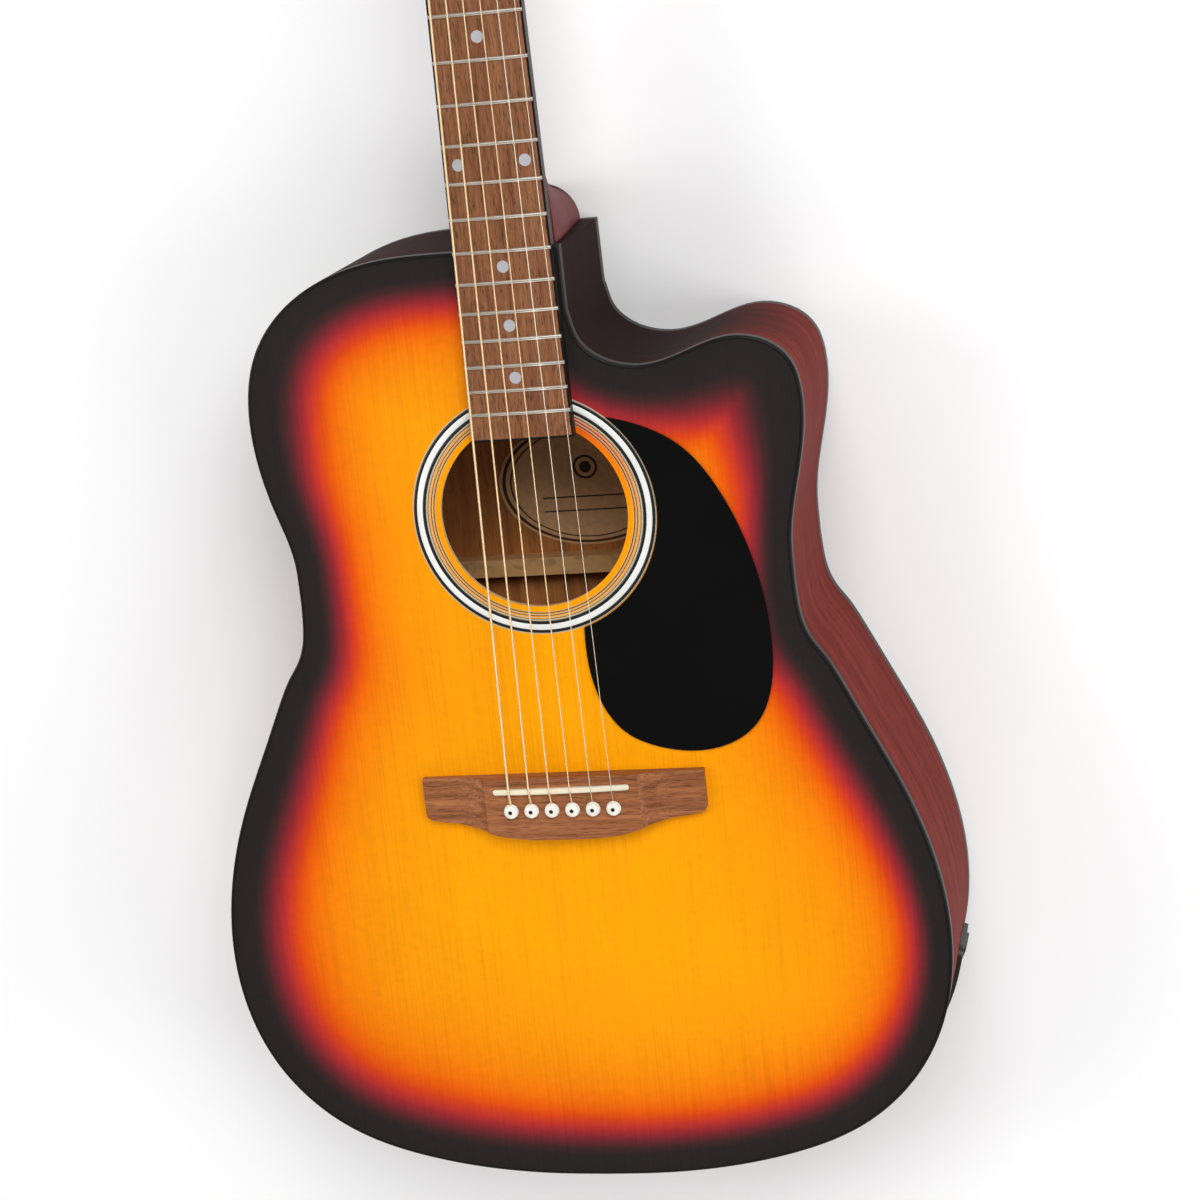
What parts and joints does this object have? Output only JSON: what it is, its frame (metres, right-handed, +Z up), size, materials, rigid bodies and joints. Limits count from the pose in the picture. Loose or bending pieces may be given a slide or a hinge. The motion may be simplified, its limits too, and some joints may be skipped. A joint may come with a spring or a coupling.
{
  "type": "acoustic guitar",
  "caption": "Steel-string acoustic guitar lying on its back: cutaway hollow body, braced top, bolt-on neck with frets, turning tuning machines, side preamp and end battery box.",
  "frame": {"origin": "on the ground below the middle of the guitar, which lies on its back", "axes": "+X to the treble side, +Y from the tail to the headstock, +Z up, out of the soundboard"},
  "size_m": [0.4009, 1.062, 0.1275],
  "materials": {
    "top_spruce": "satin sunburst",
    "side_wood": "satin",
    "neck_wood": "satin",
    "fingerboard_wood": "matt",
    "bridge_wood": "matt",
    "pale_wood": "bare",
    "block_wood": "bare",
    "black_binding": "gloss",
    "black_sheet": "gloss",
    "rosette": "gloss rings of black and white",
    "bone": "satin",
    "pin_plastic": "gloss",
    "pearl": "pearl",
    "fret_metal": "polished",
    "plain_steel": "polished",
    "bronze": "wound",
    "tuner_chrome": "polished",
    "rod_steel": "plain",
    "black_moulding": "fine satin",
    "jack_metal": "polished",
    "label_paper": "paper",
    "battery_case": "gloss"
  },
  "bodies": {
    "guitar": {"soundboard": "top_spruce", "back_plate": "side_wood", "side_bass": "side_wood", "side_treble": "side_wood", "binding_top": "black_binding", "binding_back": "black_binding", "lining_top": "pale_wood", "lining_back": "pale_wood", "neck_block": "block_wood", "tail_block": "block_wood", "tail_graft": "black_binding", "x_braces": "pale_wood", "upper_brace": "pale_wood", "tone_bars": "pale_wood", "bridge_plate": "block_wood", "back_braces": "pale_wood", "soundhole_label": "label_paper", "rosette": "rosette", "pickguard": "black_sheet", "bridge": "bridge_wood", "saddle": "bone", "saddle_pickup": "black_moulding", "bridge_pins": "pin_plastic", "strap_button": "tuner_chrome", "neck": "neck_wood", "heel_cap": "black_binding", "headstock_veneer": "black_sheet", "truss_rod": "rod_steel", "fingerboard": "fingerboard_wood", "fingerboard_sides": "black_binding", "frets": "fret_metal", "nut": "bone", "position_dots": "pearl", "jack_plate": "black_moulding", "output_jack": "jack_metal", "plain_strings": "plain_steel", "wound_strings": "bronze", "tuner_housings": "tuner_chrome", "tuner_bushings": "tuner_chrome", "tuner_screws": "tuner_chrome", "preamp_panel": "black_moulding"},
    "button_1": {"tuner_button_1": "tuner_chrome"},
    "post_1": {"tuner_post_1": "tuner_chrome"},
    "button_2": {"tuner_button_2": "tuner_chrome"},
    "post_2": {"tuner_post_2": "tuner_chrome"},
    "button_3": {"tuner_button_3": "tuner_chrome"},
    "post_3": {"tuner_post_3": "tuner_chrome"},
    "button_4": {"tuner_button_4": "tuner_chrome"},
    "post_4": {"tuner_post_4": "tuner_chrome"},
    "button_5": {"tuner_button_5": "tuner_chrome"},
    "post_5": {"tuner_post_5": "tuner_chrome"},
    "button_6": {"tuner_button_6": "tuner_chrome"},
    "post_6": {"tuner_post_6": "tuner_chrome"},
    "truss_nut": {"truss_rod_nut": "rod_steel"},
    "volume": {"volume_knob": "black_moulding"},
    "bass": {"bass_knob": "black_moulding"},
    "treble": {"treble_knob": "black_moulding"},
    "key": {"tuner_key": "black_moulding"},
    "drawer": {"battery_drawer": "black_moulding", "battery": "battery_case"}
  },
  "joints": [
    {"name": "button_1_turn", "type": "hinge", "parent": "guitar", "child": "button_1", "pos_m": [-0.022, 0.408, 0.04915], "axis": [-1, 0, 0], "continuous": true},
    {"name": "post_1_turn", "type": "hinge", "parent": "guitar", "child": "post_1", "pos_m": [-0.022, 0.40552, 0.07142], "axis": [0, 0.2885, 0.9575], "continuous": true},
    {"name": "button_2_turn", "type": "hinge", "parent": "guitar", "child": "button_2", "pos_m": [-0.022, 0.45109, 0.03617], "axis": [-1, 0, 0], "continuous": true},
    {"name": "post_2_turn", "type": "hinge", "parent": "guitar", "child": "post_2", "pos_m": [-0.022, 0.44861, 0.05844], "axis": [0, 0.2885, 0.9575], "continuous": true},
    {"name": "button_3_turn", "type": "hinge", "parent": "guitar", "child": "button_3", "pos_m": [-0.022, 0.49418, 0.02319], "axis": [-1, 0, 0], "continuous": true},
    {"name": "post_3_turn", "type": "hinge", "parent": "guitar", "child": "post_3", "pos_m": [-0.022, 0.49169, 0.04545], "axis": [0, 0.2885, 0.9575], "continuous": true},
    {"name": "button_4_turn", "type": "hinge", "parent": "guitar", "child": "button_4", "pos_m": [0.022, 0.49418, 0.02319], "axis": [1, 0, 0], "continuous": true},
    {"name": "post_4_turn", "type": "hinge", "parent": "guitar", "child": "post_4", "pos_m": [0.022, 0.49169, 0.04545], "axis": [0, 0.2885, 0.9575], "continuous": true},
    {"name": "button_5_turn", "type": "hinge", "parent": "guitar", "child": "button_5", "pos_m": [0.022, 0.45109, 0.03617], "axis": [1, 0, 0], "continuous": true},
    {"name": "post_5_turn", "type": "hinge", "parent": "guitar", "child": "post_5", "pos_m": [0.022, 0.44861, 0.05844], "axis": [0, 0.2885, 0.9575], "continuous": true},
    {"name": "button_6_turn", "type": "hinge", "parent": "guitar", "child": "button_6", "pos_m": [0.022, 0.408, 0.04915], "axis": [1, 0, 0], "continuous": true},
    {"name": "post_6_turn", "type": "hinge", "parent": "guitar", "child": "post_6", "pos_m": [0.022, 0.40552, 0.07142], "axis": [0, 0.2885, 0.9575], "continuous": true},
    {"name": "truss_nut_turn", "type": "hinge", "parent": "guitar", "child": "truss_nut", "pos_m": [0, -0.00904, 0.09365], "axis": [0, -0.9988, 0.0483], "range_deg": [-180, 180]},
    {"name": "volume_turn", "type": "hinge", "parent": "guitar", "child": "volume", "pos_m": [-0.15025, -0.08953, 0.05218], "axis": [-0.9833, -0.1818, 0.0088], "range_deg": [-270, 0]},
    {"name": "bass_turn", "type": "hinge", "parent": "guitar", "child": "bass", "pos_m": [-0.14716, -0.10623, 0.05299], "axis": [-0.9833, -0.1818, 0.0088], "range_deg": [-135, 135]},
    {"name": "treble_turn", "type": "hinge", "parent": "guitar", "child": "treble", "pos_m": [-0.14406, -0.12293, 0.0538], "axis": [-0.9833, -0.1818, 0.0088], "range_deg": [-135, 135]},
    {"name": "key_press", "type": "slide", "parent": "guitar", "child": "key", "axis": [0.9833, 0.1818, -0.0088], "range_m": [0, 0.001], "stiffness_N_per_m": 400},
    {"name": "drawer_slide", "type": "slide", "parent": "guitar", "child": "drawer", "axis": [0.9136, -0.4062, 0.0196], "range_m": [0, 0.045]}
  ],
  "couplings": [
    {"joint": "post_1_turn", "follows": "button_1_turn", "ratio": -0.071429},
    {"joint": "post_2_turn", "follows": "button_2_turn", "ratio": -0.071429},
    {"joint": "post_3_turn", "follows": "button_3_turn", "ratio": -0.071429},
    {"joint": "post_4_turn", "follows": "button_4_turn", "ratio": -0.071429},
    {"joint": "post_5_turn", "follows": "button_5_turn", "ratio": -0.071429},
    {"joint": "post_6_turn", "follows": "button_6_turn", "ratio": -0.071429}
  ]
}
